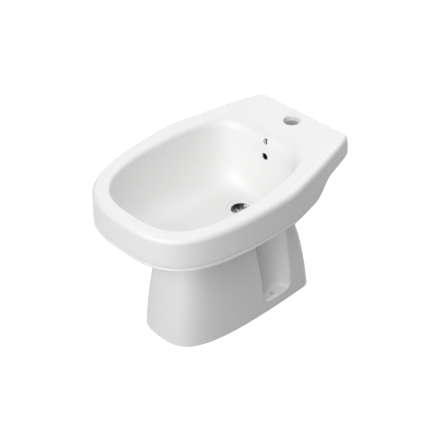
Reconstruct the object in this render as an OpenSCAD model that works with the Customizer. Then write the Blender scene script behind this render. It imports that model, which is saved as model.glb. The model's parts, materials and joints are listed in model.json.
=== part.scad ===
// Floor standing bidet: a one-piece china casting with its slotted waste and bottle trap.
// Millimetres. Z is up, the front faces -Y, and the origin lies on the floor under the middle.

/* [Overall size] */
// Width over the skirt
body_w = 364; // [350:1:400]
// Length over the skirt, from the front to the back of the deck
body_l = 524; // [500:1:570]
// Height from the floor to the rim
body_h = 353; // [346:1:400]
// Wall of the casting
wall = 11; // [8:0.5:13]

/* [Rim and deck] */
// Distance from the front at which the rim is widest
widest_from_front = 290; // [270:1:320]
// How far the front stays nearly straight, each way from the middle
front_flat = 105; // [60:1:110]
// How far forward the sides stay nearly straight
side_straight = 278; // [220:1:286]
// Width of the deck's back edge
deck_back_w = 247; // [210:1:270]
// Radius of the deck's back corners
deck_corner_r = 14; // [8:1:24]
// Radius of the outer edge of the rim
rim_edge_r = 11; // [5:0.5:14]
// Thickness of the rim and deck over the hollow
deck_t = 13; // [11:0.5:18]

/* [Skirt] */
// Depth of the skirt at the front and sides
skirt_h = 75; // [60:1:100]
// How far the skirt spreads towards its lower edge
skirt_flare = 2; // [0:0.5:4]
// Depth of the skirt round the back of the deck
deck_edge_h = 44; // [34:1:55]
// Where the skirt's lower edge starts to rise, behind the middle
rise_start = 112; // [90:1:140]
// Length over which it rises
rise_l = 62; // [40:1:100]
// How far the skirt hangs lower again in the middle of the back, under the tap hole
apron_drop = 16; // [0:1:24]
// Width of that lower part
apron_w = 175; // [120:5:190]
// Radius of the skirt's lower edge
lip_r = 4.5; // [2:0.5:5]

/* [Bowl] */
// Width of the bowl's wall just under the rim
bowl_w = 276; // [250:1:290]
// Width of the rim at the front, to the bowl's wall
rim_front = 33; // [26:1:45]
// Distance from the back edge to the bowl's wall
rim_back = 124; // [114:1:130]
// Depth of the bowl at the drain
bowl_depth = 148; // [138:0.5:154]
// Radius of the bowl's edge at the front and sides
bowl_edge_r = 8.4; // [6:0.1:10]
// Radius of the bowl's edge under the tap deck
bowl_back_edge_r = 24.5; // [12:1:28]
// Fullness of the bowl: 2 is an ellipse, more is boxier
bowl_fullness = 2.6; // [2.2:0.1:3.2]

/* [Drain, overflow and tap holes] */
// Distance from the back edge to the drain's centre
drain_from_back = 197; // [190:1:204]
// Drain hole
drain_d = 46; // [44:0.5:50]
// Recess for the waste's flange
seat_d = 64; // [62:0.5:70]
// Depth of that recess
seat_t = 4; // [3:0.5:6]
// Length of the drain's neck, from the bowl down
neck_h = 54.5; // [46:0.5:60]
// Overflow hole
overflow_d = 16; // [12:0.5:20]
// Depth of the overflow hole's centre under the rim
overflow_drop = 51.5; // [45:0.5:62]
// Hole for the chain stay
chain_hole_d = 9.5; // [7:0.5:11]
// Depth of the chain stay's hole under the rim
chain_hole_drop = 19.75; // [14:0.5:24]
// Tap hole
tap_hole_d = 35; // [32:0.5:37]
// Distance from the back edge to the tap hole's centre
tap_from_back = 42; // [36:1:48]

/* [Pedestal] */
// Width of the foot
foot_w = 220; // [200:1:250]
// Distance from the rim's front to the foot's front
foot_front = 78.5; // [60:0.5:100]
// Distance from the deck's back edge to the foot's back
foot_back = 85; // [70:1:95]
// How far the foot's front stays nearly straight, each way from the middle
foot_flat = 70; // [50:1:90]
// Radius of the foot's back corners
foot_corner_r = 29; // [15:1:40]
// Lean of the pedestal's walls: inward run for each unit of height
lean = 0.165; // [0.12:0.005:0.18]
// How far the walls swell outwards halfway up
swell = 2.5; // [0:0.5:4]
// How far they draw in again under the bowl
draw_in = 7; // [0:0.5:10]
// Width of the foot's flat ring on the floor
foot_ring_w = 22; // [16:1:30]
// Height of that ring
foot_ring_h = 15.5; // [12:1:24]
// Width of the opening at the back
back_gap_w = 149; // [120:1:170]
// Height of the opening at the back
back_gap_h = 150; // [130:1:160]

/* [Side recesses and floor fixing] */
// Place of the fixing holes behind the middle
fixing_y = 60.5; // [56:0.5:66]
// Spacing of the two fixing holes
fixing_spacing = 187; // [182:1:190]
// Fixing hole
fixing_d = 9; // [7:0.5:12]
// Place of the recesses behind the middle
recess_y = 64.5; // [60:0.5:68]
// Width of a recess at the foot
recess_w = 78.5; // [72:0.5:86]
// Depth of a recess
recess_depth = 27; // [24:0.5:30]
// Height of the ledge that holds the fixing hole
ledge_h = 26.5; // [20:0.5:28]
// Radius between the ledge and the recess's wall
ledge_r = 8.5; // [6:0.5:10]

/* [Waste] */
// Flange of the waste
flange_d = 61; // [58:0.5:61.5]
// Thickness of the flange
flange_t = 3; // [2.5:0.25:4]
// Thread of the waste's tail and of the trap's outlet
thread_d = 41.9; // [40:0.1:43]
// Bore of the waste's tail
tail_bore = 35; // [30:0.5:36]
// Length of the tail under its cup
tail_l = 24; // [22:1:26]
// Thickness of the upper gasket
upper_gasket_t = 1.5; // [1:0.25:2]
// Thickness of the lower gasket
lower_gasket_t = 5; // [3:0.5:7]
// Strainer plate
strainer_d = 39; // [36:0.5:40]
// Thickness of the strainer plate
strainer_t = 1.2; // [0.8:0.1:2]
// Depth of the strainer under the top of the flange
strainer_drop = 11; // [8:0.5:12]
// Thread of the centre screw
screw_d = 5; // [4:0.5:6]

/* [Trap] */
// Outer diameter of the dip tube and the outlet pipe
pipe_d = 32; // [30:0.5:33]
// Wall of the pipes
pipe_wall = 1.8; // [1.2:0.1:2.5]
// Outer diameter of the coupling nuts
nut_d = 55; // [52:1:60]
// Length of the coupling nuts
nut_l = 20; // [16:1:24]
// Outer diameter of the trap's body
trap_d = 60; // [56:1:66]
// Height of the trap's body
trap_body_h = 48; // [46:1:50]
// Wall of the trap's body and cup
trap_wall = 3; // [2:0.25:4]
// Length of the dip tube between its two nuts
dip_gap = 5; // [3:1:6]
// Depth of the cup under the trap's body
cup_h = 26; // [22:1:30]
// Distance from the deck's back edge to the end of the outlet pipe
pipe_from_back = 81; // [72:1:94]

/* [Hidden] */
$fn = 64;
// Clearance between turned faces that fit in each other
fit = 0.3;

rim_w = body_w - 2 * skirt_flare;
front_y = -body_l / 2 + skirt_flare;
back_y = body_l / 2 - skirt_flare;
widest_y = front_y + widest_from_front;
middle_y = 20; // every upright outline is measured round this point of the centre line

drain_y = back_y - drain_from_back;
drain_z = body_h - bowl_depth; // bowl's surface round the drain
seat_z = drain_z - seat_t;
neck_z = drain_z - neck_h;
neck_r = drain_d / 2 + wall + 2;

lip_z = body_h - skirt_h;
deck_lip_z = body_h - deck_edge_h;
apron_ramp = 36; // length over which the edge drops at each end of the apron
deck_z = body_h - deck_t; // underside of the deck, where the rim's node ends
pedestal_h = min(back_gap_h, neck_z) - 3.5; // where the pedestal's node ends

// Levels of the waste and the trap, from the bowl down
flange_top = seat_z + upper_gasket_t + flange_t;
strainer_z = flange_top - strainer_drop;
flange_low = strainer_z - 2.5;
cup_flange_top = neck_z - lower_gasket_t;
cup_flange_t = 5;
tail_z = cup_flange_top - cup_flange_t - tail_l;
washer_t = 3;
collar_t = 2.5;
nut_lip = 3;
inlet_collar_z = tail_z - washer_t - collar_t; // underside of the dip tube's collar
inlet_nut_z = inlet_collar_z - nut_lip;
head_nut_top = inlet_nut_z - dip_gap;
trap_neck_h = 9;
trap_neck_z = head_nut_top - nut_lip - washer_t;
trap_top = trap_neck_z - trap_neck_h;
trap_low = trap_top - trap_body_h;
outlet_z = trap_top - trap_wall - pipe_d / 2;
seal_t = 2.5;
cup_low = trap_low - seal_t - cup_h;
spigot_from = trap_d / 2 + 9; // distance of the threaded spigot from the trap's axis
spigot_l = 16;
spigot_y = drain_y + spigot_from + spigot_l;
pipe_end_y = back_y - pipe_from_back;
bead_gap = 2; // from the outlet nut to the pipe's bead
bead_w = 5;
bead_h = 1.5;

china = [0.95, 0.95, 0.94];
white_plastic = [0.9, 0.9, 0.88];
grey_rubber = [0.25, 0.25, 0.27];
steel = [0.75, 0.77, 0.8];

// ---- Curves and outlines ----

// A point of a cubic curve with its ends at p[0] and p[3], drawn towards p[1] and p[2]
function cubic(p, t) =
    pow(1 - t, 3) * p[0] + 3 * pow(1 - t, 2) * t * p[1] +
    3 * (1 - t) * pow(t, 2) * p[2] + pow(t, 3) * p[3];

curve_steps = 60;
function curve(p) = [for (i = [1 : curve_steps]) cubic(p, i / curve_steps)];

// Points of a straight back edge, from p to the middle
line_steps = 12;
function back_line(p) = [for (i = [1 : line_steps]) [p.x * (1 - i / line_steps), p.y]];

// Half of the rim's outline, from the middle of the front to the middle of the back
rim_half = concat(
    [[0, front_y]],
    curve([[0, front_y], [front_flat, front_y],
           [rim_w / 2, widest_y - side_straight], [rim_w / 2, widest_y]]),
    curve([[rim_w / 2, widest_y], [rim_w / 2, widest_y + 14],
           [deck_back_w / 2 + 24, back_y - 66], [deck_back_w / 2 + 4, back_y - deck_corner_r]]),
    curve([[deck_back_w / 2 + 4, back_y - deck_corner_r],
           [deck_back_w / 2, back_y - deck_corner_r / 3],
           [deck_back_w / 2 - deck_corner_r / 3, back_y],
           [deck_back_w / 2 - deck_corner_r, back_y]]),
    back_line([deck_back_w / 2 - deck_corner_r, back_y])
);

// Half of the outline of the bowl's wall just under the rim
bowl_front_y = front_y + rim_front;
bowl_back_y = back_y - rim_back;
bowl_widest_y = -53;
bowl_half = concat(
    [[0, bowl_front_y]],
    curve([[0, bowl_front_y], [75, bowl_front_y],
           [bowl_w / 2, bowl_widest_y - 164], [bowl_w / 2, bowl_widest_y]]),
    curve([[bowl_w / 2, bowl_widest_y], [bowl_w / 2, bowl_back_y + 27],
           [67, bowl_back_y], [0, bowl_back_y]])
);

// Half of the foot's outline on the floor
foot_front_y = front_y + foot_front;
foot_back_y = back_y - foot_back;
foot_half = concat(
    [[0, foot_front_y]],
    curve([[0, foot_front_y], [foot_flat, foot_front_y],
           [foot_w / 2, foot_front_y + 17], [foot_w / 2, foot_back_y - foot_corner_r]]),
    curve([[foot_w / 2, foot_back_y - foot_corner_r],
           [foot_w / 2, foot_back_y - foot_corner_r * 0.45],
           [foot_w / 2 - foot_corner_r * 0.55, foot_back_y],
           [foot_w / 2 - foot_corner_r, foot_back_y]]),
    back_line([foot_w / 2 - foot_corner_r, foot_back_y])
);

// Radius of a half outline round the middle point, for each direction from the front
function polar(half) =
    [for (p = half) [atan2(p.x, middle_y - p.y), norm([p.x, p.y - middle_y])]];
rim_polar = polar(rim_half);
bowl_polar = polar(bowl_half);
foot_polar = polar(foot_half);

// Directions of the rings' points from the front to the back, closer together at the deck's corners
function all_round(half) = concat(half, [for (i = [len(half) - 2 : -1 : 1]) 360 - half[i]]);
turns = all_round(concat([for (a = [0 : 6 : 138]) a], [for (a = [142.5 : 2.5 : 160]) a], [168, 180]));
foot_turns = all_round(concat([for (a = [0 : 5.3 : 132.5]) a], [for (a = [136.3 : 3.4 : 160]) a], [169, 180]));

function radius(table, a) = lookup(a > 180 ? 360 - a : a, table);
function smooth(t) = let (c = min(max(t, 0), 1)) c * c * (3 - 2 * c);

// One closed ring: a half outline drawn in by inset, at a height that may follow y
function ring_point(table, a, inset, z) =
    let (r = radius(table, a) - inset)
    [r * sin(a), middle_y - r * cos(a), z];

// A solid through rings of equal size, closed at both ends by strips from side to side
module loft(rings) {
    n = len(rings[0]);
    last = (len(rings) - 1) * n;
    half = floor(n / 2);
    walls = [for (k = [0 : len(rings) - 2], i = [0 : n - 1])
        let (a = k * n + i, b = k * n + (i + 1) % n) each [[a, b, b + n], [a, b + n, a + n]]];
    caps = [for (i = [0 : half - 1])
        let (j = (n - i) % n, k = n - i - 1) each
            (i == 0 ? [[0, k, 1], [last, last + 1, last + k]] :
             i + 1 == k ? [[i, j, k], [last + i, last + k, last + j]] :
             [[i, j, k], [i, k, i + 1], [last + i, last + k, last + j], [last + i, last + i + 1, last + k]])];
    polyhedron(points = [for (r = rings) each r], faces = [for (f = concat(walls, caps)) [f[0], f[2], f[1]]], convexity = 8);
}

// ---- The casting ----

// Height of the skirt's lower edge at a point: it rises behind the middle and drops again under the tap
function lip_height(p) =
    lip_z + smooth((p.y - rise_start) / rise_l)
        * (deck_lip_z - lip_z - apron_drop * smooth((apron_w / 2 - abs(p.x)) / apron_ramp));

// A ring of the skirt: drawn in by inset, and lifted above its lower edge
function skirt_ring(inset, lift) = [for (a = turns)
    let (p = ring_point(rim_polar, a, inset, 0)) [p.x, p.y, lip_height(p) + lift]];

function rim_ring(inset, z) = [for (a = turns) ring_point(rim_polar, a, inset, z)];

lip_arc = [0, 30, 60, 90];
edge_arc = [0, 22.5, 45, 67.5, 90];

// Rim, deck and skirt as one block, before it is hollowed
module rim_block() {
    loft(concat(
        [skirt_ring(wall + 2, 0)],
        [for (t = lip_arc)
            skirt_ring(lip_r * (1 - sin(t)) - skirt_flare, lip_r * (1 - cos(t)))],
        [for (t = edge_arc)
            rim_ring(rim_edge_r * (1 - cos(t)), body_h - rim_edge_r * (1 - sin(t)))]
    ));
}

// The hollow under the rim and the deck
module rim_hollow() {
    loft([
        skirt_ring(wall - skirt_flare, -wall - apron_drop),
        skirt_ring(wall - skirt_flare, lip_r),
        rim_ring(wall, deck_z - wall / 2),
        rim_ring(wall * 1.5, deck_z),
        rim_ring(wall * 1.5, deck_z + wall)
    ]);
}

// Radius of the bowl's upper edge, softer towards the deck
function edge_r(a) = bowl_edge_r + (bowl_back_edge_r - bowl_edge_r) * smooth((cos(180 - a) - 0.2) / 0.7);

// A ring of the bowl: t runs from the drain (0) to the wall under the rim (90)
function bowl_ring(t, grow, drop) =
    let (f = pow(sin(t), 2 / bowl_fullness), g = 1 - pow(cos(t), 2 / bowl_fullness))
    [for (a = turns)
        let (
            seat_r = seat_d / 2 + 2,
            wall_z = body_h - edge_r(a),
            r = seat_r + (radius(bowl_polar, a) - seat_r) * f + grow,
            y = drain_y + (middle_y - drain_y) * f
        )
        [r * sin(a), y - r * cos(a), drain_z + (wall_z - drain_z) * g - drop * (1 - g)]];

// A ring of the bowl's rounded upper edge, from the wall (0) to the flat rim (90)
function bowl_edge_ring(t) = [for (a = turns)
    let (e = edge_r(a))
    ring_point(bowl_polar, a, -e * (1 - cos(t)), body_h - e * (1 - sin(t)))];

bowl_steps = [0, 9, 18, 28, 38, 48, 58, 68, 79];

module bowl_space() {
    loft(concat(
        [for (t = bowl_steps) bowl_ring(t, 0, 0)],
        [for (t = edge_arc) bowl_edge_ring(t)],
        [[for (a = turns) ring_point(bowl_polar, a, -edge_r(a), body_h + wall)]]
    ));
}

// The bowl's outer side
module bowl_block() {
    loft(concat(
        [for (t = [0, 18, 36, 52, 68, 90]) bowl_ring(t, wall, wall)],
        [[for (a = turns) ring_point(bowl_polar, a, -wall, body_h - deck_t / 2)]]
    ));
}

// How far the pedestal's wall stands in from the foot's outline at a height
function pedestal_in(z) = lean * z - swell * sin(min(z / 150, 1) * 180) + draw_in * smooth((z - 130) / 75);

function foot_ring(inset, z) = [for (a = foot_turns) ring_point(foot_polar, a, inset + pedestal_in(z), z)];

pedestal_top = drain_z + 60;

module pedestal_wall() {
    difference() {
        loft([
            foot_ring(2, 0), foot_ring(0, 3), foot_ring(0, 38), foot_ring(0, 75), foot_ring(0, 112),
            foot_ring(0, 150), foot_ring(0, 175), foot_ring(0, 205), foot_ring(0, pedestal_top)
        ]);
        loft([
            foot_ring(foot_ring_w, -wall), foot_ring(foot_ring_w, foot_ring_h * 0.6),
            foot_ring(wall, foot_ring_h + 8), foot_ring(wall, 75), foot_ring(wall, 150),
            foot_ring(wall, 205), foot_ring(wall, pedestal_top + wall)
        ]);
        back_gap();
    }
}

// Opening at the back of the pedestal, with a round top
module back_gap() {
    gap_r = 40;
    translate([0, foot_back_y - 60, 0])
        rotate([-90, 0, 0])
            linear_extrude(height = 60 + foot_back) {
                translate([-back_gap_w / 2, -back_gap_h + gap_r])
                    square([back_gap_w, back_gap_h + wall]);
                for (side = [-1, 1])
                    translate([side * (back_gap_w / 2 - gap_r), -back_gap_h + gap_r])
                        circle(r = gap_r);
                translate([-back_gap_w / 2 + gap_r, -back_gap_h])
                    square([back_gap_w - 2 * gap_r, gap_r]);
            }
}

// Recess: an upright round channel that leans with the wall and ends in a ledge
recess_r = (pow(recess_w / 2, 2) + pow(recess_depth, 2)) / (2 * recess_depth);
recess_x = foot_w / 2 - recess_depth + recess_r;
recess_top = 250;

module recess(grow) {
    hull() {
        translate([recess_x, recess_y, ledge_h - grow])
            cylinder(r = recess_r - ledge_r + grow, h = 1);
        translate([recess_x, recess_y, ledge_h + ledge_r - grow / 2])
            cylinder(r = recess_r + grow, h = 1);
        translate([recess_x - lean * recess_top, recess_y, recess_top])
            cylinder(r = recess_r + grow, h = 1);
    }
}

// Backing of a recess inside the pedestal, down to the floor
module recess_back() {
    intersection() {
        union() {
            recess(wall);
            translate([fixing_spacing / 2, fixing_y, 1])
                cylinder(d = fixing_d + 2 * wall, h = ledge_h);
        }
        loft([foot_ring(3, -1), foot_ring(3, 75), foot_ring(3, 150), foot_ring(3, pedestal_top - 1)]);
    }
}

// Way of the overflow water behind the bowl, from the hole to the drain's neck
overflow_z = body_h - overflow_drop;
overflow_r = overflow_d / 2 + 1.5;
overflow_route = [
    [0, bowl_back_y + wall + 3, overflow_z],
    [0, bowl_back_y + wall, drain_z + 33],
    [0, bowl_back_y - 4, drain_z - 10],
    [0, drain_y + drain_d / 2 - 4, drain_z - 29]
];

module rod(p, q, r) {
    v = q - p;
    translate(p)
        rotate([0, acos(v.z / norm(v)), atan2(v.y, v.x)])
            cylinder(r = r, h = norm(v), $fn = 20);
}

module overflow_way(r) {
    for (i = [0 : len(overflow_route) - 2]) {
        rod(overflow_route[i], overflow_route[i + 1], r);
        translate(overflow_route[i])
            rotate([8, 0, 5])
                sphere(r = r + 0.5, $fn = 22);
    }
}

// The space between two heights, wider than the part
module slab(from, to) {
    translate([-body_w, -body_l, from])
        cube([2 * body_w, 2 * body_l, to - from]);
}

// Pedestal with both recesses, before it is cut to its height
module pedestal() {
    difference() {
        union() {
            pedestal_wall();
            for (side = [0, 1])
                mirror([side, 0, 0])
                    recess_back();
        }
        for (side = [0, 1])
            mirror([side, 0, 0])
                recess(0);
    }
}

// Drain with its seat, overflow with its way down, and the hole of the chain stay
module bowl_holes() {
    overflow_way(overflow_r);
    translate([0, drain_y, seat_z])
        cylinder(d = seat_d, h = bowl_depth);
    translate([0, drain_y, neck_z - wall])
        cylinder(d = drain_d, h = neck_h + wall);
    translate([0, bowl_back_y - 2 * wall, overflow_z])
        rotate([-90, 0, 0])
            cylinder(d = overflow_d, h = 3 * wall, $fn = 32);
    translate([0, bowl_back_y + 3, body_h - chain_hole_drop])
        rotate([45, 0, 0])
            translate([0, 0, -wall - 5])
                cylinder(d = chain_hole_d, h = 4 * wall, $fn = 32);
}

// The casting is one fired piece. It is kept as four nodes that meet face to face at level planes,
// each brought to its exact size, so that each has a simple shape to collide with.

module china_rim() {
    color(china)
        difference() {
            resize([0, 0, deck_t])
                difference() {
                    intersection() {
                        rim_block();
                        slab(deck_z, body_h + wall);
                    }
                    bowl_space();
                }
            translate([0, back_y - tap_from_back, deck_z - wall])
                cylinder(d = tap_hole_d, h = deck_t + 2 * wall);
        }
}

module china_skirt() {
    color(china)
        resize([body_w, body_l, deck_z - lip_z])
            difference() {
                intersection() {
                    rim_block();
                    slab(0, deck_z);
                }
                rim_hollow();
            }
}

module china_bowl() {
    color(china)
        resize([0, 0, deck_z - pedestal_h])
            difference() {
                intersection() {
                    union() {
                        bowl_block();
                        pedestal();
                        translate([0, drain_y, neck_z])
                            cylinder(r = neck_r, h = neck_h);
                        overflow_way(overflow_r + wall / 2);
                    }
                    slab(pedestal_h, deck_z);
                }
                bowl_space();
                bowl_holes();
            }
}

module china_pedestal() {
    color(china)
        difference() {
            resize([0, 0, pedestal_h])
                intersection() {
                    pedestal();
                    slab(-wall, pedestal_h);
                }
            for (side = [-1, 1])
                translate([side * fixing_spacing / 2, fixing_y, -wall])
                    cylinder(d = fixing_d, h = ledge_h + 3 * wall);
        }
}

// ---- The waste ----

// A ring turned round the drain's axis from a half section
module turned(section) {
    translate([0, drain_y, 0])
        rotate_extrude()
            polygon(section);
}

throat_r = strainer_d / 2 + fit;
flange_tube_r = drain_d / 2 - 1;

module waste_flange() {
    color(white_plastic)
        turned([
            [throat_r + 3.5, flange_top], [flange_d / 2 - 4, flange_top],
            [flange_d / 2 - 1, flange_top - 0.6], [flange_d / 2, flange_top - 1.6],
            [flange_d / 2, flange_top - flange_t], [flange_tube_r, flange_top - flange_t],
            [flange_tube_r, flange_low], [throat_r - 2.5, flange_low],
            [throat_r - 2.5, strainer_z - fit / 2], [throat_r, strainer_z - fit / 2],
            [throat_r, strainer_z + 4], [throat_r + 0.8, flange_top - 2]
        ]);
}

module upper_gasket() {
    color(grey_rubber)
        turned([
            [flange_tube_r + fit, seat_z], [flange_d / 2 - 1.5, seat_z],
            [flange_d / 2 - 1.5, seat_z + upper_gasket_t],
            [flange_tube_r + fit, seat_z + upper_gasket_t]
        ]);
}

strainer_hole_d = 8.5;
strainer_holes = 6;

module waste_strainer() {
    color(steel)
        translate([0, drain_y, strainer_z])
            difference() {
                cylinder(d = strainer_d, h = strainer_t);
                translate([0, 0, -1])
                    cylinder(d = screw_d + 2 * fit, h = strainer_t + 2);
                for (i = [0 : strainer_holes - 1])
                    rotate([0, 0, (i + 0.5) * 360 / strainer_holes])
                        translate([strainer_d * 0.3, 0, -1])
                            cylinder(d = strainer_hole_d, h = strainer_t + 2, $fn = 32);
            }
}

bridge_top = flange_low - 8;
bridge_t = 6;
screw_low = bridge_top - bridge_t - 4;

module waste_screw() {
    head_z = strainer_z + strainer_t;
    color(steel)
        difference() {
            turned([
                [0, head_z + 2.4], [screw_d * 0.55, head_z + 2.2], [screw_d * 0.95, head_z + 1],
                [screw_d * 1.05, head_z], [screw_d / 2, head_z], [screw_d / 2, screw_low + 1],
                [screw_d / 2 - 1, screw_low], [0, screw_low]
            ]);
            translate([-0.6, drain_y - screw_d * 1.1, head_z + 1.2])
                cube([1.2, screw_d * 2.2, 2]);
        }
}

slot_w = 9;
slot_rise = 4;
waste_tube_r = drain_d / 2 - 1.5;
cup_flange_r = neck_r - 2;

module waste_body() {
    color(white_plastic)
        difference() {
            union() {
                turned([
                    [waste_tube_r, flange_low - fit], [waste_tube_r, cup_flange_top],
                    [cup_flange_r, cup_flange_top], [cup_flange_r, cup_flange_top - cup_flange_t + 1],
                    [cup_flange_r - 1, cup_flange_top - cup_flange_t],
                    [thread_d / 2, cup_flange_top - cup_flange_t], [thread_d / 2, tail_z + 1],
                    [thread_d / 2 - 1, tail_z], [tail_bore / 2, tail_z], [tail_bore / 2, flange_low - fit]
                ]);
                translate([0, drain_y, bridge_top - bridge_t]) {
                    cylinder(d = screw_d + 7, h = bridge_t);
                    for (turn = [65, 155])
                        rotate([0, 0, turn])
                            translate([-tail_bore / 2 - 1, -1.5, 0])
                                cube([tail_bore + 2, 3, bridge_t]);
                }
            }
            translate([0, drain_y, bridge_top - bridge_t - 1])
                cylinder(d = screw_d + 0.1, h = bridge_t + 2);
            for (turn = [20, 110])
                translate([0, drain_y, neck_z + slot_rise])
                    rotate([0, 0, turn])
                        translate([-drain_d, -slot_w / 2, 0])
                            cube([2 * drain_d, slot_w, bridge_top - bridge_t - 1.5 - neck_z - slot_rise]);
        }
}

module lower_gasket() {
    color(grey_rubber)
        turned([
            [waste_tube_r + fit, cup_flange_top], [cup_flange_r, cup_flange_top],
            [cup_flange_r - 1, neck_z], [waste_tube_r + fit, neck_z]
        ]);
}

// ---- The trap ----

// A coupling nut with its lip at the bottom: grip ribs stand round a turned body
ribs = 12;
module coupling_nut(d, bore_d, thread, l) {
    difference() {
        union() {
            cylinder(d = d - 3, h = l);
            cylinder(d = d, h = 3);
            for (i = [0 : ribs - 1])
                rotate([0, 0, i * 360 / ribs])
                    translate([d / 2 - 2.6, -1.6, 2])
                        cube([2.6, 3.2, l - 4]);
        }
        translate([0, 0, nut_lip])
            cylinder(d = thread, h = l);
        translate([0, 0, -1])
            cylinder(d = bore_d, h = nut_lip + 2);
    }
}

module inlet_nut() {
    color(white_plastic)
        translate([0, drain_y, inlet_nut_z])
            coupling_nut(nut_d, pipe_d + 2 * fit, thread_d + fit, nut_l);
}

module inlet_washer() {
    color(grey_rubber)
        turned([
            [pipe_d / 2 - pipe_wall, tail_z - washer_t], [thread_d / 2 - 1, tail_z - washer_t],
            [thread_d / 2 - 1, tail_z], [tail_bore / 2 - 1, tail_z]
        ]);
}

dip_low = cup_low + 20;

module dip_tube() {
    r = pipe_d / 2;
    top = inlet_collar_z + collar_t;
    color(white_plastic)
        turned([
            [r - pipe_wall, top], [thread_d / 2 - 1, top], [thread_d / 2 - 1, inlet_collar_z],
            [r, inlet_collar_z], [r, dip_low], [r - pipe_wall, dip_low]
        ]);
}

head_thread_d = trap_d - 14;

module head_nut() {
    color(white_plastic)
        translate([0, drain_y, head_nut_top])
            mirror([0, 0, 1])
                coupling_nut(nut_d, pipe_d + 2 * fit, head_thread_d + fit, nut_lip + washer_t + trap_neck_h - 1);
}

module head_washer() {
    color(grey_rubber)
        turned([
            [pipe_d / 2 + 0.1, trap_neck_z], [head_thread_d / 2 - 0.5, trap_neck_z],
            [head_thread_d / 2 - 0.5, trap_neck_z + washer_t], [pipe_d / 2 + 0.1, trap_neck_z + washer_t]
        ]);
}

module trap_body() {
    r = trap_d / 2;
    inner = r - trap_wall;
    color(white_plastic)
        difference() {
            union() {
                turned([
                    [pipe_d / 2 + fit, trap_neck_z], [head_thread_d / 2, trap_neck_z],
                    [head_thread_d / 2, trap_top], [r - 2, trap_top], [r, trap_top - 2],
                    [r, trap_low], [pipe_d / 2 + fit, trap_low]
                ]);
                translate([0, drain_y, outlet_z])
                    rotate([-90, 0, 0]) {
                        cylinder(r = pipe_d / 2 + 1, h = spigot_from);
                        translate([0, 0, spigot_from])
                            cylinder(d = thread_d, h = spigot_l);
                    }
            }
            turned([
                [0, trap_low - 1], [inner, trap_low - 1], [inner, trap_top - trap_wall],
                [0, trap_top - trap_wall]
            ]);
            translate([0, drain_y + pipe_d / 2 + 1, outlet_z])
                rotate([-90, 0, 0])
                    cylinder(d = pipe_d - 2 * pipe_wall, h = trap_d + spigot_l);
        }
}

cup_collar_h = 14;
cup_collar_r = trap_d / 2 + 4;

module cup_seal() {
    color(grey_rubber)
        turned([
            [trap_d / 2 - trap_wall, trap_low - seal_t], [trap_d / 2 - fit, trap_low - seal_t],
            [trap_d / 2 - fit, trap_low], [trap_d / 2 - trap_wall, trap_low]
        ]);
}

module trap_cup() {
    r = trap_d / 2;
    ledge_z = trap_low - seal_t;
    outer = r - 1;
    color(white_plastic)
        union() {
            turned([
                [r + fit / 2, trap_low + cup_collar_h - 4], [cup_collar_r - 1, trap_low + cup_collar_h - 4],
                [cup_collar_r, trap_low + cup_collar_h - 5], [cup_collar_r, ledge_z - 2],
                [outer, ledge_z - 5], [outer - 2, cup_low + 8], [outer - 9, cup_low], [0, cup_low],
                [0, cup_low + trap_wall], [outer - 10, cup_low + trap_wall],
                [outer - 2 - trap_wall, cup_low + 9], [outer - 1 - trap_wall, ledge_z],
                [r + fit / 2, ledge_z]
            ]);
            for (i = [0 : ribs - 1])
                translate([0, drain_y, ledge_z])
                    rotate([0, 0, i * 360 / ribs])
                        translate([cup_collar_r - 1, -1.8, 0])
                            cube([2.5, 3.6, cup_collar_h - 4]);
        }
}

module outlet_nut() {
    color(white_plastic)
        translate([0, spigot_y + washer_t + nut_lip, outlet_z])
            rotate([90, 0, 0])
                coupling_nut(nut_d, pipe_d + 2 * fit, thread_d + fit, nut_l);
}

module outlet_washer() {
    color(grey_rubber)
        translate([0, spigot_y, outlet_z])
            rotate([-90, 0, 0])
                difference() {
                    cylinder(d = thread_d - 1, h = washer_t);
                    translate([0, 0, -1])
                        cylinder(d = pipe_d + 0.2, h = washer_t + 2);
                }
}

// The pipe has a bead behind its nut, where a sleeve that is pushed over the pipe stops
module outlet_pipe() {
    start_y = spigot_y + fit;
    bead_from = washer_t + nut_lip + bead_gap - fit;
    r = pipe_d / 2;
    pipe_l = pipe_end_y - start_y;
    color(white_plastic)
        translate([0, start_y, outlet_z])
            rotate([-90, 0, 0])
                rotate_extrude()
                    polygon([
                        [r - pipe_wall, 0], [r, 0], [r, bead_from], [r + bead_h, bead_from + bead_h],
                        [r + bead_h, bead_from + bead_w - bead_h], [r, bead_from + bead_w],
                        [r, pipe_l], [r - pipe_wall, pipe_l]
                    ]);
}

china_rim();
china_skirt();
china_bowl();
china_pedestal();
waste_flange();
waste_strainer();
waste_screw();
upper_gasket();
lower_gasket();
waste_body();
inlet_nut();
inlet_washer();
dip_tube();
head_nut();
head_washer();
trap_body();
cup_seal();
trap_cup();
outlet_nut();
outlet_washer();
outlet_pipe();
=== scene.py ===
import json
import math

import bpy
import numpy as np
from mathutils import Matrix


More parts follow.
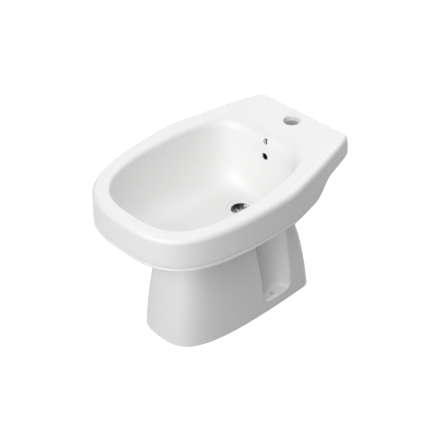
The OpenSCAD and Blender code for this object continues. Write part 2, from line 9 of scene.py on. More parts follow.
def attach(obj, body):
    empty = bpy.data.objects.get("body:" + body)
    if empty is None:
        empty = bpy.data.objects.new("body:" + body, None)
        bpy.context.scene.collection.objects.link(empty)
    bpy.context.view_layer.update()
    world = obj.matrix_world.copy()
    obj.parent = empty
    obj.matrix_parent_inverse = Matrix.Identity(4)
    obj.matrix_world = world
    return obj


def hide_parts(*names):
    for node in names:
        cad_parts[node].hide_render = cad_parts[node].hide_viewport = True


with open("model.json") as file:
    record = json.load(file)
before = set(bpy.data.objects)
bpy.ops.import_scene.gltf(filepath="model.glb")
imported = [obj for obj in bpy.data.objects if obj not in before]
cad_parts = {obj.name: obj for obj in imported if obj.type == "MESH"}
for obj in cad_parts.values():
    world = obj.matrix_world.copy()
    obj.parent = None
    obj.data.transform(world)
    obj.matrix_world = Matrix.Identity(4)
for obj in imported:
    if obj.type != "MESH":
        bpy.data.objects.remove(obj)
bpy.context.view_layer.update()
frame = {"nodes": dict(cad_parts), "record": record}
print("frame loaded:", len(frame["nodes"]), "nodes")

# the camera's place and all of the china are in millimetres until they are made;
# materials, floor and lamps are in metres
mm = 0.001


# ---- camera ----

cameraSet = {
    "place": (1415.4, -1368.4, 1740.8),
    "turn": 45.93,  # degrees from the front towards the right
    "rise": 37.87,
    "roll": -1.30,
    "lens": 98.52,
    "sensor": 36.0,
}


def makeCamera(s):
    # back = (sin t cos r, -cos t cos r, sin r), right = (cos t, sin t, 0), up = back x right,
    # then right and up are turned by the roll round back
    t, r, roll = (math.radians(s[k]) for k in ("turn", "rise", "roll"))
    back = np.array([math.sin(t) * math.cos(r), -math.cos(t) * math.cos(r), math.sin(r)])
    right = np.array([math.cos(t), math.sin(t), 0.0])
    up = np.cross(back, right)
    right, up = (
        right * math.cos(roll) + up * math.sin(roll),
        up * math.cos(roll) - right * math.sin(roll),
    )
    data = bpy.data.cameras.new("camera")
    data.lens = s["lens"]
    data.sensor_width = s["sensor"]
    data.clip_end = 50
    camera = bpy.data.objects.new("camera", data)
    place = np.array(s["place"]) * mm
    camera.matrix_world = Matrix(
        [[right[i], up[i], back[i], place[i]] for i in range(3)] + [[0, 0, 0, 1]]
    )
    bpy.context.scene.collection.objects.link(camera)
    bpy.context.scene.camera = camera


makeCamera(cameraSet)
print("camera placed")


# ---- curves and grids ----

def cubicPath(points, count=160):
    # p(t) = (1-t)^3 p0 + 3 (1-t)^2 t p1 + 3 (1-t) t^2 p2 + t^3 p3
    p = np.array(points, float)
    t = np.linspace(0, 1, count)[:, None]
    return (
        (1 - t) ** 3 * p[0]
        + 3 * (1 - t) ** 2 * t * p[1]
        + 3 * (1 - t) * t**2 * p[2]
        + t**3 * p[3]
    )


def smooth(t):
    # 3 c^2 - 2 c^3 for c = t held between 0 and 1
    c = np.clip(t, 0, 1)
    return c * c * (3 - 2 * c)


def softMax(a, b, k):
    # the larger of a and b, rounded over a width k: (a + b + sqrt((a - b)^2 + k^2)) / 2
    return (a + b + np.sqrt((a - b) ** 2 + k * k)) / 2


class Outline:
    # a half outline as reach over turn: turn = atan2(x, middle - y) in degrees from the front,
    # reach = |(x, y - middle)|; the other half is its mirror image
    def __init__(self, half, middle):
        self.middle = middle
        self.turn = np.degrees(np.arctan2(half[:, 0], middle - half[:, 1]))
        self.reach = np.hypot(half[:, 0], half[:, 1] - middle)

    def at(self, turn):
        folded = np.abs((np.asarray(turn) + 180) % 360 - 180)
        return np.interp(folded, self.turn, self.reach)


def spreadTurns(outline, count, bendShare, extra=None):
    # turns at equal steps of length + bendShare * turning, so that corners get more columns
    turn = np.linspace(0, 180, 6000)
    reach = outline.at(turn)
    x, y = reach * np.sin(np.radians(turn)), -reach * np.cos(np.radians(turn))
    heading = np.unwrap(np.arctan2(np.gradient(y), np.gradient(x)))
    heading = np.convolve(np.pad(heading, 20, "edge"), np.ones(41) / 41, "valid")
    cost = np.hypot(np.diff(x), np.diff(y)) + bendShare * np.abs(np.diff(heading))
    if extra is not None:
        cost = cost * extra(x[1:], y[1:] + outline.middle)
    total = np.concatenate([[0], np.cumsum(cost)])
    half = np.interp(np.linspace(0, total[-1], count // 2 + 1), total, turn)
    return np.concatenate([half, 360 - half[-2:0:-1]])


def ringAt(turn, reach, centreY, z):
    # x = reach sin(turn), y = centreY - reach cos(turn)
    a = np.radians(turn)
    x = reach * np.sin(a)
    y = centreY - reach * np.cos(a)
    return np.stack([x, y, np.broadcast_to(z, x.shape)], -1)


def gridMesh(name, rows, closedRows=True):
    # rows[i, j] is the point of row i and column j; columns close on themselves,
    # rows too where closedRows is set, and otherwise the first and last rows are capped
    rows = np.asarray(rows, float)
    m, n = rows.shape[:2]
    i = np.arange(m if closedRows else m - 1)
    j = np.arange(n)
    a = (i[:, None] * n + j).ravel()
    b = (i[:, None] * n + (j + 1) % n).ravel()
    c = (((i[:, None] + 1) % m) * n + (j + 1) % n).ravel()
    d = (((i[:, None] + 1) % m) * n + j).ravel()
    quads = np.stack([a, b, c, d], 1)
    points = rows.reshape(-1, 3)
    p = points[quads]
    volume = np.einsum("ij,ij->i", p[:, 0], np.cross(p[:, 1], p[:, 2])).sum()
    volume += np.einsum("ij,ij->i", p[:, 0], np.cross(p[:, 2], p[:, 3])).sum()
    faces = quads.tolist()
    if not closedRows:
        faces += [list(range(n))[::-1], list(range((m - 1) * n, m * n))]
        for ring, sign in ((rows[0], -1), (rows[-1], 1)):
            middle = ring.mean(0)
            volume += sign * np.einsum(
                "j,ij->i", middle, np.cross(ring, np.roll(ring, -1, 0))
            ).sum()
    if volume < 0:
        faces = [f[::-1] for f in faces]
    mesh = bpy.data.meshes.new(name)
    mesh.from_pydata((points * mm).tolist(), [], faces)
    mesh.validate()
    piece = bpy.data.objects.new(name, mesh)
    bpy.context.scene.collection.objects.link(piece)
    return piece


def turned(name, profile, centre, axis=(0, 0, 1), count=96):
    # profile of (radius, height) carried round the axis through centre:
    # p = centre + height axis + radius (u cos t + v sin t)
    profile = np.array(profile, float)
    axis = np.array(axis, float) / np.linalg.norm(axis)
    u = np.cross(axis, (1, 0, 0)) if abs(axis[0]) < 0.9 else np.cross(axis, (0, 1, 0))
    u /= np.linalg.norm(u)
    v = np.cross(axis, u)
    t = np.linspace(0, 2 * np.pi, count, endpoint=False)
    around = np.cos(t)[:, None] * u + np.sin(t)[:, None] * v
    rows = (
        np.array(centre)
        + profile[:, 1, None, None] * axis
        + profile[:, 0, None, None] * around
    )
    return gridMesh(name, rows, closedRows=False)


def flaredRod(r, depth, lip, above, far):
    # a cutter's profile: radius r below the face, opening over the last lip millimetres as
    # r + lip (1 - cos t) at height lip sin t - lip + above, so that the hole's edge is round
    t = np.radians(np.linspace(0, 84, 9))
    arc = np.stack([r + lip * (1 - np.cos(t)), lip * np.sin(t) - lip + above], 1)
    return np.vstack([[[0.01, -depth], [r, -depth]], arc, [[arc[-1, 0], far], [0.01, far]]])


def drop(piece):
    bpy.data.objects.remove(piece, do_unlink=True)


def combine(base, others, operation):
    # one boolean with all the others at once, then they are removed
    group = bpy.data.collections.new("operands")
    bpy.context.scene.collection.children.link(group)
    for o in others:
        bpy.context.scene.collection.objects.unlink(o)
        group.objects.link(o)
    mod = base.modifiers.new("combine", "BOOLEAN")
    mod.operation = operation
    mod.operand_type = "COLLECTION"
    mod.collection = group
    mod.solver = "EXACT"
    graph = bpy.context.evaluated_depsgraph_get()
    mesh = bpy.data.meshes.new_from_object(base.evaluated_get(graph))
    mesh.validate()
    base.modifiers.clear()
    base.data = mesh
    for o in others:
        drop(o)
    bpy.data.collections.remove(group)
    return base


# ---- the china ----

china = {
    "width": 360, "length": 520, "height": 353, "wall": 11, "deck": 13,
    "widestY": 30, "frontFlat": 105, "sideStraight": 278, "middle": 20,
    "deckBack": 247, "deckCorner": 14, "rimEdge": 11,
    "skirtLow": 278, "skirtFlare": 2, "deckLow": 309, "riseFrom": 112, "riseLong": 62, "lip": 4.5,
    "apronDrop": 16, "apronHalf": 87.5, "apronRamp": 36, "bead": 1.0, "beadUp": 9.5, "beadWide": 3.2,
    "bowlWide": 276, "bowlFront": -227, "bowlBack": 136, "bowlWidestY": -53,
    "bowlEdge": 8.4, "bowlBackEdge": 24.5, "fullness": 2.6,
    "drainY": 63, "drainZ": 205, "drainR": 23, "seatR": 30.7, "floorR": 34, "seatDeep": 4, "neckLow": 150.5,
    "tapY": 218, "tapR": 17.5, "overflowZ": 301.5, "overflowR": 8,
    "chainY": 142.8, "chainZ": 334.0, "chainR": 4.75,
    "boreEdge": 1.5, "seatFoot": 1.2, "seatBrim": 0.3, "straight": 20, "underEdge": 8, "outerEdge": 4,
}
c = china
backY = c["length"] / 2
frontY = -backY

rimHalf = np.vstack([
    cubicPath([[0, frontY], [c["frontFlat"], frontY],
               [c["width"] / 2, c["widestY"] - c["sideStraight"]], [c["width"] / 2, c["widestY"]]], 400),
    cubicPath([[c["width"] / 2, c["widestY"]], [c["width"] / 2, c["widestY"] + 14],
               [c["deckBack"] / 2 + 24, backY - 66],
               [c["deckBack"] / 2 + 4, backY - c["deckCorner"]]], 300)[1:],
    cubicPath([[c["deckBack"] / 2 + 4, backY - c["deckCorner"]],
               [c["deckBack"] / 2, backY - c["deckCorner"] / 3],
               [c["deckBack"] / 2 - c["deckCorner"] / 3, backY],
               [c["deckBack"] / 2 - c["deckCorner"], backY]], 80)[1:],
    np.stack([np.linspace(c["deckBack"] / 2 - c["deckCorner"], 0, 60)[1:], np.full(59, backY)], 1),
])
bowlHalf = np.vstack([
    cubicPath([[0, c["bowlFront"]], [75, c["bowlFront"]],
               [c["bowlWide"] / 2, c["bowlWidestY"] - 164], [c["bowlWide"] / 2, c["bowlWidestY"]]], 400),
    cubicPath([[c["bowlWide"] / 2, c["bowlWidestY"]], [c["bowlWide"] / 2, c["bowlBack"] + 27],
               [67, c["bowlBack"]], [0, c["bowlBack"]]], 400)[1:],
])
rimLine = Outline(rimHalf, c["middle"])
bowlLine = Outline(bowlHalf, c["middle"])


def lipHeight(x, y):
    # the skirt's lower edge:
    # low + smooth((y - from) / long) (high - low - drop smooth((half - |x|) / ramp))
    apron = c["apronDrop"] * smooth((c["apronHalf"] - np.abs(x)) / c["apronRamp"])
    rise = smooth((y - c["riseFrom"]) / c["riseLong"])
    return c["skirtLow"] + rise * (c["deckLow"] - c["skirtLow"] - apron)


def bowlEdge(turn):
    # the bowl's edge radius, softer towards the deck:
    # edge + (backEdge - edge) smooth((-cos(turn) - 0.2) / 0.7)
    towardsDeck = smooth((-np.cos(np.radians(turn)) - 0.2) / 0.7)
    return c["bowlEdge"] + (c["bowlBackEdge"] - c["bowlEdge"]) * towardsDeck


def bowlShares(t):
    # f = sin(t)^(2/n) is the share of the way out, g = 1 - cos(t)^(2/n) the share of the way up
    t = np.radians(t)
    return np.sin(t) ** (2 / c["fullness"]), 1 - np.cos(t) ** (2 / c["fullness"])


def bowlRow(turn, t, grow=0.0, sink=0.0):
    f, g = bowlShares(t)
    start = c["floorR"]
    reach = start + (bowlLine.at(turn) - start) * f + grow
    centre = c["drainY"] + (c["middle"] - c["drainY"]) * f
    z = c["drainZ"] + (c["height"] - bowlEdge(turn) - c["drainZ"]) * g - sink * (1 - g)
    return ringAt(turn, reach, centre, z)


def basinRows(turn):
    # the section of the rim, skirt and bowl, from the drain's bore over the rim and back
    # underneath, as one closed loop of rows
    rim, bowl, edge = rimLine.at(turn), bowlLine.at(turn), bowlEdge(turn)
    top, wall, mid = c["height"], c["wall"], c["middle"]
    q = np.radians(np.linspace(0, 90, 8))
    rows = []

    def circle(r, z):
        rows.append(ringAt(turn, np.full(turn.shape, float(r)), c["drainY"], z))

    seatZ = c["drainZ"] - c["seatDeep"]
    bore, seatFoot, brim = c["boreEdge"], c["seatFoot"], c["seatBrim"]
    circle(c["drainR"], c["neckLow"] + bore)
    for z in np.linspace(c["neckLow"] + 12, seatZ - bore, 3):
        circle(c["drainR"], z)
    for a in q[1::2]:
        circle(c["drainR"] + bore * (1 - math.cos(a)), seatZ - bore + bore * math.sin(a))
    circle(c["seatR"] - seatFoot, seatZ)
    for a in q[1::2]:  # round foot and round brim of the drain's recess
        circle(c["seatR"] - seatFoot + seatFoot * math.sin(a), seatZ + seatFoot - seatFoot * math.cos(a))
    for a in q[:-1:2]:
        circle(c["seatR"] + brim * (1 - math.cos(a)), c["drainZ"] - brim + brim * math.sin(a))
    s = np.linspace(0, 1, 46)
    for t in 90 * s**1.35 / (s**1.35 + (1 - s) ** 1.35):
        rows.append(bowlRow(turn, t))
    for a in np.radians(np.linspace(0, 90, 13))[1:]:
        rows.append(ringAt(turn, bowl + edge * (1 - math.cos(a)), mid, top - edge * (1 - math.sin(a))))
    for k in np.linspace(0, 1, 6)[1:-1]:
        rows.append(ringAt(turn, bowl + edge + (rim - c["rimEdge"] - bowl - edge) * k, mid, top))
    for a in np.radians(np.linspace(0, 90, 12)):
        inward, down = c["rimEdge"] * (1 - math.sin(a)), c["rimEdge"] * (1 - math.cos(a))
        rows.append(ringAt(turn, rim - inward, mid, top - down))
    low = lipHeight(*ringAt(turn, rim, mid, 0.0)[:, :2].T)
    lip, flare, straight = c["lip"], c["skirtFlare"], c["straight"]
    high = top - c["rimEdge"]
    for k in np.linspace(0, 1, 6)[1:-1]:
        rows.append(ringAt(turn, rim + flare * k * 0.8, mid, high + (low + straight - high) * k))
    for up in np.linspace(straight, lip, 12):  # drawn in by bead exp(-((up - beadUp) / beadWide)^2)
        dip = c["bead"] * math.exp(-(((up - c["beadUp"]) / c["beadWide"]) ** 2))
        spread = flare * (1 - 0.2 * (up - lip) / (straight - lip))
        rows.append(ringAt(turn, rim + spread - dip, mid, low + up))
    for a in q[1:]:
        rows.append(ringAt(turn, rim + flare - lip * (1 - math.cos(a)), mid, low + lip - lip * math.sin(a)))
    for a in q:
        inward = lip * (1 - math.sin(a))
        rows.append(ringAt(turn, rim + flare - wall + inward, mid, low + lip - lip * math.cos(a)))
    under, edgeR, outerR = top - c["deck"], c["underEdge"], c["outerEdge"]
    for k in (0.35, 0.7, 1):
        height = low + lip + (under - edgeR - low - lip) * k
        rows.append(ringAt(turn, rim + flare * (1 - k) - wall, mid, height))
    for a in q[1:]:
        inward = edgeR * (1 - math.cos(a))
        rows.append(ringAt(turn, rim - wall - inward, mid, under - edgeR + edgeR * math.sin(a)))
    gap = np.maximum(rim - wall - bowl - wall - 12, 0.5)
    outer = bowl + wall
    for k in (0.35, 0.7):
        rows.append(ringAt(turn, outer + outerR + gap * (1 - k), mid, under))
    for a in q[::2]:
        inward, down = outerR * (1 - math.sin(a)), outerR * (1 - math.cos(a))
        rows.append(ringAt(turn, outer + inward, mid, under - down))
    for t in (86, 80, 72, 63, 54, 45, 36, 27, 18, 9, 0):
        row = bowlRow(turn, t, wall, wall)
        row[:, 2] = np.minimum(row[:, 2], under - edgeR - 0.1 * (90 - t))
        rows.append(row)
    neckR = c["drainR"] + wall + 2
    for a in q:
        down = edgeR * (1 - math.cos(a))
        circle(neckR + edgeR * (1 - math.sin(a)), c["drainZ"] - wall - 0.4 - down)
    circle(neckR, c["neckLow"] + 14)
    for a in q[::2]:
        circle(neckR - bore * (1 - math.cos(a)), c["neckLow"] + bore - bore * math.sin(a))
    circle(c["drainR"] + bore, c["neckLow"])
    return np.array(rows)


foot = {
    "width": 220, "frontY": -181.5, "backY": 175, "frontFlat": 70, "corner": 29,
    "lean": 0.165, "swell": 2.5, "drawIn": 7, "ring": 22, "levelTo": 62, "innerLow": 10,
    "gapWide": 149, "gapHigh": 150, "gapR": 40,
    "recessY": 64.5, "recessWide": 78.5, "recessDeep": 27, "ledge": 26.5, "ledgeHalf": 3.2,
    "ledgeR": 15, "ledgeIn": 9, "fixingX": 93.5, "fixingY": 60.5, "fixingR": 4.5,
}
p = foot
footHalf = np.vstack([
    cubicPath([[0, p["frontY"]], [p["frontFlat"], p["frontY"]],
               [p["width"] / 2, p["frontY"] + 17], [p["width"] / 2, p["backY"] - p["corner"]]], 400),
    cubicPath([[p["width"] / 2, p["backY"] - p["corner"]], [p["width"] / 2, p["backY"] - p["corner"] * 0.45],
               [p["width"] / 2 - p["corner"] * 0.55, p["backY"]],
               [p["width"] / 2 - p["corner"], p["backY"]]], 100)[1:],
    np.stack([np.linspace(p["width"] / 2 - p["corner"], 0, 60)[1:], np.full(59, p["backY"])], 1),
])
footLine = Outline(footHalf, c["middle"])


def leanIn(z):
    # lean z - swell sin(180 z / 150) + drawIn smooth((z - 130) / 75)
    z = np.asarray(z, float)
    return (
        p["lean"] * z
        - p["swell"] * np.sin(np.pi * np.clip(z / 150, 0, 1))
        + p["drawIn"] * smooth((z - 130) / 75)
    )


def bowlHeightAt(x, y):
    # the bowl's height over a point: t is halved down to where the ring of t passes through it
    low, high = np.zeros(x.shape), np.full(x.shape, 90.0)
    start = c["floorR"]
    for _ in range(30):
        t = (low + high) / 2
        f, g = bowlShares(t)
        centre = c["drainY"] + (c["middle"] - c["drainY"]) * f
        turn = np.degrees(np.arctan2(x, centre - y))
        inside = np.hypot(x, y - centre) < start + (bowlLine.at(turn) - start) * f
        high = np.where(inside, t, high)
        low = np.where(inside, low, t)
    turn = np.degrees(np.arctan2(x, c["middle"] - y))
    return c["drainZ"] + (c["height"] - bowlEdge(turn) - c["drainZ"]) * g


def recessIn(points, grow=0.0):
    # a round channel that leans with the wall and narrows to a rounded foot: its wall stands at
    # cx(z) - sqrt(R(z)^2 - (y - y0)^2), where R grows from the ledge up as a quarter round,
    # and the side is drawn in to it where that is deeper, crisp in front and soft behind;
    # grow widens it and moves its ledge down, for the inner side
    x, y, z = points[..., 0], points[..., 1], points[..., 2]
    half = p["recessWide"] / 2
    r = (half**2 + p["recessDeep"] ** 2) / (2 * p["recessDeep"])
    up = np.clip((z + grow - p["ledge"]) / p["ledgeR"], 0, 1)
    radius = r + grow - p["ledgeIn"] * (1 - np.sqrt(1 - (1 - up) ** 2))
    centre = p["width"] / 2 - p["recessDeep"] + r - leanIn(z) + 1.0
    dy = y - p["recessY"]
    wallX = centre - np.sqrt(np.maximum(radius**2 - dy * dy, 0))
    deep = np.where(np.abs(dy) < radius * 0.99, np.abs(x) - wallX, -40)
    k = 2.0 + 9.0 * smooth(dy / 30)
    deep = softMax(deep, 0, k) - k * k / (4 * np.maximum(np.abs(deep), k))
    deep = np.maximum(deep, 0) * smooth((z + grow - p["ledge"]) / (2 * p["ledgeHalf"]) + 0.5)
    moved = points.copy()
    moved[..., 0] = np.sign(x) * (np.abs(x) - deep)
    return moved


def pedestalRows(turn):
    # the pedestal's wall: outside up from the floor into the bowl's china, inside down again
    reach = footLine.at(turn)
    wall, mid = c["wall"], c["middle"]

    def innerFace(z):
        return recessIn(ringAt(turn, reach - leanIn(z) - wall, mid, z), wall)

    # the wall ends inside the bowl's china: the first height at which its inner face comes
    # within half a wall of the bowl's surface
    levels = np.linspace(160, 270, 80)
    over = np.array([
        z + wall / 2 - bowlHeightAt(*innerFace(z)[:, :2].T)
        for z in levels
    ])
    first = np.maximum(np.argmax(over > 0, axis=0), 1)
    column = np.arange(len(turn))
    below, above = over[first - 1, column], over[first, column]
    tops = levels[first - 1] + (levels[1] - levels[0]) * np.clip(-below / (above - below), 0, 1)
    q = np.radians(np.linspace(0, 90, 6))
    rows = []
    for a in q:
        rows.append(ringAt(turn, reach - 3 * (1 - math.sin(a)), mid, 3 * (1 - math.cos(a))))
    flat, levelTo, innerLow = p["ledge"], p["levelTo"], p["innerLow"]
    lows = np.concatenate([
        np.linspace(3, flat - 5, 8)[1:], np.linspace(flat - 5, flat + 5, 22)[1:],
        np.linspace(flat + 5, levelTo, 14)[1:],
    ])
    for z in lows:
        rows.append(recessIn(ringAt(turn, reach - leanIn(z), mid, z)))
    for k in np.linspace(0, 1, 26)[1:]:
        z = levelTo + (tops - levelTo) * k
        rows.append(recessIn(ringAt(turn, reach - leanIn(z), mid, z)))
    inner = [levelTo + (tops - levelTo) * k for k in np.linspace(1, 0, 12)]
    inner += list(np.linspace(levelTo - 10, innerLow, 16))
    for z in inner:
        rows.append(innerFace(z))
    for k in (0.3, 0.65, 1):
        z = innerLow - 4 * k
        inward = (p["ring"] - wall) * smooth(k)
        rows.append(ringAt(turn, reach - leanIn(z) - wall - inward, mid, z))
    rows.append(ringAt(turn, reach - p["ring"], mid, 1.5))
    rows.append(ringAt(turn, reach - p["ring"] + 1.5, mid, 0.0))
    return np.array(rows)


def gapCutter():
    # a round-topped gate through the pedestal's back, wider by lip (1 - cos t) at both faces
    # of the wall, so that its edges are round
    w, h, r = p["gapWide"] / 2, p["gapHigh"], p["gapR"]
    arc = np.radians(np.linspace(0, 90, 14))
    right = [(w, -20), (w, 0), (w, 40), (w, h - r)]
    right += [(w - r + r * math.cos(a), h - r + r * math.sin(a)) for a in arc[1:]]
    right = np.array(right + [(w - r - 15, h), (12, h)])
    line = np.vstack([right, right[::-1] * [-1, 1]])
    tangent = np.roll(line, -1, 0) - np.roll(line, 1, 0)
    normal = np.stack([tangent[:, 1], -tangent[:, 0]], 1)
    normal /= np.linalg.norm(normal, axis=1)[:, None]
    lip, wall = 4.0, c["wall"]
    t = np.radians(np.linspace(84, 0, 7))
    steps = [(-40, lip * 0.9)]
    steps += [(-(wall + 0.3) + lip * (1 - math.sin(a)), lip * (1 - math.cos(a))) for a in t]
    steps += [(0.3 - lip * (1 - math.sin(a)), lip * (1 - math.cos(a))) for a in t[::-1]]
    steps += [(45, lip * 0.9)]
    rows = []
    for depth, spread in steps:
        x, z = (line + normal * spread).T
        y = p["backY"] - leanIn(np.maximum(z, 0)) + depth
        rows.append(np.stack([x, y, z], 1))
    return gridMesh("gapCutter", rows, closedRows=False)


duct = {"r": 9.5, "wall": 5.5, "from": 86, "clear": 8, "steps": 40}


def ductTube(name, r):
    # a round tube whose centre line keeps one distance behind the bowl's profile in the middle
    # plane and then runs level into the neck; its upper end is a half round
    t = np.linspace(duct["from"], 6, duct["steps"])
    back = np.array([bowlRow(np.array([180.0]), a)[0, 1:] for a in t])
    away = np.gradient(back, axis=0)
    away = np.stack([-away[:, 1], away[:, 0]], 1)
    away /= np.linalg.norm(away, axis=1)[:, None]
    line = back + away * (duct["r"] + duct["clear"])
    line = np.vstack([line, [[c["drainY"] + c["drainR"] - 5, line[-1, 1]]]])
    q = np.radians(np.linspace(10, 80, 5))
    cap = np.stack([r * np.cos(q), r * np.sin(q)], 1)[::-1]
    line = np.vstack([np.stack([np.full(5, line[0, 0]), line[0, 1] + cap[:, 1]], 1), line])
    size = np.concatenate([cap[:, 0], np.full(len(line) - 5, float(r))])
    run = np.gradient(line, axis=0)
    run /= np.linalg.norm(run, axis=1)[:, None]
    t = np.linspace(0, 2 * np.pi, 32, endpoint=False)
    rows = np.stack([
        size[:, None] * np.cos(t),
        line[:, 0, None] - size[:, None] * np.sin(t) * run[:, 1, None],
        line[:, 1, None] + size[:, None] * np.sin(t) * run[:, 0, None],
    ], -1)
    return gridMesh(name, rows, closedRows=False)


basinTurn = spreadTurns(rimLine, 372, 30)
footTurn = spreadTurns(
    footLine, 340, 30,
    lambda x, y: 1 + 2.2 * np.exp(-((y - 27) / 10) ** 2) + 0.9 * np.exp(-((y - 66) / 50) ** 2),
)
casting = gridMesh("chinaCasting", basinRows(basinTurn))
pedestal = gridMesh("pedestal", pedestalRows(footTurn))
print("china surfaces:", len(casting.data.polygons), len(pedestal.data.polygons))

fixings = [
    turned("fixing", [(0.01, -30), (p["fixingR"], -30), (p["fixingR"], 46), (0.01, 46)],
           (side * p["fixingX"], p["fixingY"], 0), count=32)
    for side in (-1, 1)
]
combine(pedestal, [gapCutter()], "DIFFERENCE")
combine(casting, [pedestal, ductTube("duct", duct["r"] + duct["wall"])], "UNION")
slant = np.array([0, -1, 1]) / math.sqrt(2)
cutters = [
    turned("tapCutter", flaredRod(c["tapR"], 40, 3.6, 0.35, 6), (0, c["tapY"], c["height"])),
    turned("overflowCutter", flaredRod(c["overflowR"], 14, 1.6, 0.5, 8),
           (0, c["bowlBack"] - 2.2, c["overflowZ"]), (0, -1, 0), 48),
    turned("chainCutter", flaredRod(c["chainR"], 15, 1.6, 0.4, 8),
           (0, c["chainY"], c["chainZ"]), slant, 40),
    ductTube("ductBore", duct["r"]),
]
combine(casting, cutters + fixings, "DIFFERENCE")
print("china casting:", len(casting.data.polygons), "faces")
casting.data.shade_smooth()
casting.data.set_sharp_from_angle(angle=math.radians(42))


# ---- materials ----

class Socket:
    # wraps a node's output, so that an expression on values adds its Math nodes
    def __init__(self, tree, link):
        self.tree, self.link = tree, link

    def math(self, operation, a, b):
        return self.tree.node("ShaderNodeMath", {"operation": operation}, {0: a, 1: b})

    def __add__(self, other):
        return self.math("ADD", self, other)

    def __radd__(self, other):
        return self.math("ADD", other, self)

    def __mul__(self, other):
        return self.math("MULTIPLY", self, other)

    def __rmul__(self, other):
        return self.math("MULTIPLY", other, self)

    def __sub__(self, other):
        return self.math("SUBTRACT", self, other)


class Tree:
    def __init__(self, owner):
        owner.use_nodes = True
        self.nodes, self.links = owner.node_tree.nodes, owner.node_tree.links
        self.nodes.clear()

    def node(self, kind, settings=None, inputs=None, out=0):
        node = self.nodes.new(kind)
        for key, value in (settings or {}).items():
            setattr(node, key, value)
        for key, value in (inputs or {}).items():
            if isinstance(value, Socket):
                self.links.new(value.link, node.inputs[key])
            else:
                node.inputs[key].default_value = value
        return Socket(self, node.outputs[out]) if node.outputs else None

    def seen(self):
        # 1 for camera, glossy and transmission rays
        kinds = ("Camera", "Glossy", "Transmission")
        paths = [self.node("ShaderNodeLightPath", out="Is %s Ray" % k) for k in kinds]
        return paths[0].math("MAXIMUM", paths[0], paths[1].math("MAXIMUM", paths[1], paths[2]))

    def shaded(self, colour, value, low, high, dark=0.012):
        # painted shade: the dark grey below low, the colour above high
        share = self.node(
            "ShaderNodeMapRange",
            inputs={"Value": value, "From Min": low, "From Max": high, "To Min": 0.0, "To Max": 1.0},
        )
        return self.node(
            "ShaderNodeMix", {"data_type": "RGBA"},
            {"Factor": share, 6: (dark, dark, dark, 1), 7: colour}, out=2,
        )


def plainMaterial(name, s):
    material = bpy.data.materials.new(name)
    tree = Tree(material)
    where = tree.node("ShaderNodeTexCoord", out="Object")
    cloud, wave = (
        tree.node("ShaderNodeTexNoise", inputs={"Vector": where, "Scale": scale, "Detail": detail}, out="Fac")
        for scale, detail in ((s["grain"], 2.0), (s["waves"], 1.0))
    )
    colour = tree.node(
        "ShaderNodeMix",
        {"data_type": "RGBA"},
        {"Factor": cloud, 6: (*s["shade"], 1), 7: (*s["colour"], 1)},
        out=2,
    )
    # painted shade inside holes: the colour is darkened near a point deep in each hole
    for point, near, far, dark in s.get("holes", []):  # painted shade: dark within near of a point, plain beyond far
        away = tree.node("ShaderNodeVectorMath", {"operation": "DISTANCE"}, {0: where, 1: point}, out="Value")
        colour = tree.shaded(colour, away, near, far, dark)
    # painted shade down the waste's throat: the flange's colour turns dark under a height
    if "below" in s:  # painted shade: dark under a height
        height = tree.node("ShaderNodeSeparateXYZ", inputs={0: where}, out="Z")
        colour = tree.shaded(colour, height, *s["below"])
    bump = tree.node(
        "ShaderNodeBump", inputs={"Strength": s["bump"], "Distance": s["waveHigh"], "Height": wave}
    )
    surface = tree.node("ShaderNodeBsdfPrincipled", inputs={
        "Base Color": colour,
        "Roughness": s["rough"] + s["roughSpread"] * (cloud - 0.5),
        "Metallic": s.get("metal", 0.0),
        "IOR": s.get("ior", 1.5),
        "Coat Weight": s.get("coat", 0.0),
        "Coat Roughness": 0.03,
        "Normal": bump,
    })
    tree.node("ShaderNodeOutputMaterial", inputs={"Surface": surface})
    return material


# the glaze's hole entries are painted shade inside the overflow and the chain hole: point, near, far and dark
# grey
glazeSet = {"colour": (0.905, 0.905, 0.90), "shade": (0.901, 0.901, 0.896), "grain": 9.0, "waves": 11.0,
            "waveHigh": 0.0012, "bump": 0.3, "rough": 0.40, "roughSpread": 0.02, "coat": 0.12, "ior": 1.5,
            "holes": [((0, 0.1535, 0.298), 0.0163, 0.0176, 0.012), ((0, 0.156, 0.334), 0.0125, 0.0140, 0.16)]}
plasticSet = {"colour": (0.89, 0.89, 0.88), "shade": (0.86, 0.86, 0.85), "grain": 60.0, "waves": 90.0,
              "waveHigh": 0.0002, "bump": 0.2, "rough": 0.3, "roughSpread": 0.06}
# the flange's entry for under a height is painted shade down its white throat, so the opening reads dark
flangeSet = {**plasticSet, "colour": (0.905, 0.905, 0.90), "shade": (0.901, 0.901, 0.896), "coat": 0.3,
             "below": (0.2032, 0.2042)}
rubberSet = {"colour": (0.035, 0.035, 0.037), "shade": (0.025, 0.025, 0.027), "grain": 200.0, "waves": 300.0,
             "waveHigh": 0.0002, "bump": 0.3, "rough": 0.7, "roughSpread": 0.1}
steelSet = {"colour": (0.62, 0.62, 0.63), "shade": (0.55, 0.55, 0.56), "grain": 120.0, "waves": 200.0,
            "waveHigh": 0.0001, "bump": 0.2, "rough": 0.24, "roughSpread": 0.1, "metal": 1.0}
finish = {
    "china": plainMaterial("whiteGlaze", glazeSet),
    "white_plastic": plainMaterial("whitePlastic", plasticSet),
    "waste_flange": plainMaterial("flangePlastic", flangeSet),
    "rubber": plainMaterial("blackRubber", rubberSet),
    "steel": plainMaterial("polishedSteel", steelSet),
}
casting.data.materials.clear()
casting.data.materials.append(finish["china"])
for part in frame["record"]["subparts"]:
    node = frame["nodes"][part["node"]]
    node.data.materials.clear()
    node.data.materials.append(finish.get(part["node"], finish.get(part["material_slot"])))
print("materials made:", len(finish))

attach(casting, "root")
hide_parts("china_rim", "china_skirt", "china_bowl", "china_pedestal")


# ---- stage and light ----

stageSet = {"floorSize": 14.0, "floorGlow": 0.93, "floorColour": (0.30, 0.30, 0.30), "floorPlain": 0.25}


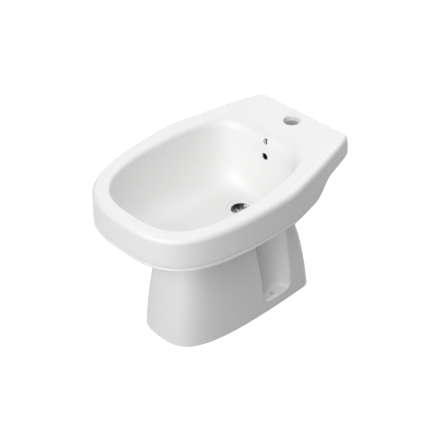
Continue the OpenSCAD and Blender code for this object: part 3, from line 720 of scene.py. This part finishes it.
def makeFloor(s):
    mesh = bpy.data.meshes.new("floor")
    h = s["floorSize"] / 2
    mesh.from_pydata([(-h, -h, 0), (h, -h, 0), (h, h, 0), (-h, h, 0)], [], [(0, 1, 2, 3)])
    floor = bpy.data.objects.new("floor", mesh)
    bpy.context.scene.collection.objects.link(floor)
    material = bpy.data.materials.new("paleFloor")
    tree = Tree(material)
    seen = tree.seen()
    plain = tree.node("ShaderNodeBsdfDiffuse", inputs={"Color": (*[s["floorPlain"]] * 3, 1)})
    shade = tree.node("ShaderNodeBsdfDiffuse", inputs={"Color": (*s["floorColour"], 1)})
    glow = tree.node("ShaderNodeEmission", inputs={"Color": (1, 1, 1, 1), "Strength": s["floorGlow"]})
    white = tree.node("ShaderNodeAddShader", inputs={0: shade, 1: glow})
    surface = tree.node("ShaderNodeMixShader", inputs={0: seen, 1: plain, 2: white})
    tree.node("ShaderNodeOutputMaterial", inputs={"Surface": surface})
    mesh.materials.append(material)


def makeWorld():
    # white to the camera and to reflections; the lamps alone light the object
    world = bpy.data.worlds.new("studio")
    bpy.context.scene.world = world
    tree = Tree(world)
    seen = tree.seen()
    dark = tree.node("ShaderNodeBackground", inputs={"Color": (1, 1, 1, 1), "Strength": 0.0})
    white = tree.node("ShaderNodeBackground", inputs={"Color": (1, 1, 1, 1), "Strength": 1.0})
    mix = tree.node("ShaderNodeMixShader", inputs={0: seen, 1: dark, 2: white})
    tree.node("ShaderNodeOutputWorld", inputs={"Surface": mix})


# soft panels round the object: turn from the front towards the left, rise, watts
panelSet = {"far": 3.2, "size": 3.0, "to": (0, 0, 0.25)}
panels = {
    "front": (0, 25, 54.1),
    "frontRight": (-45, 30, 27.6),
    "highRight": (-30, 55, 31.1),
    "backLeft": (135, 35, 28.1),
    "back": (180, 35, 41.9),
    "top": (0, 90, 11.2),
}


def makePanel(name, turn, rise, power, s):
    # back = (-sin t cos r, -cos t cos r, sin r) points from the object to the panel
    t, r = math.radians(turn), math.radians(rise)
    back = np.array([-math.sin(t) * math.cos(r), -math.cos(t) * math.cos(r), math.sin(r)])
    right = np.array([math.cos(t), -math.sin(t), 0.0])
    up = np.cross(back, right)
    data = bpy.data.lights.new(name, "AREA")
    data.shape = "SQUARE"
    data.size = s["size"]
    data.energy = power
    lamp = bpy.data.objects.new(name, data)
    place = np.array(s["to"]) + s["far"] * back
    lamp.matrix_world = Matrix([[right[i], up[i], back[i], place[i]] for i in range(3)] + [[0, 0, 0, 1]])
    bpy.context.scene.collection.objects.link(lamp)


makeFloor(stageSet)
makeWorld()
for name, (turn, rise, power) in panels.items():
    makePanel(name, turn, rise, power, panelSet)
bpy.context.scene.view_settings.view_transform = "Standard"
print("stage and lamps placed")
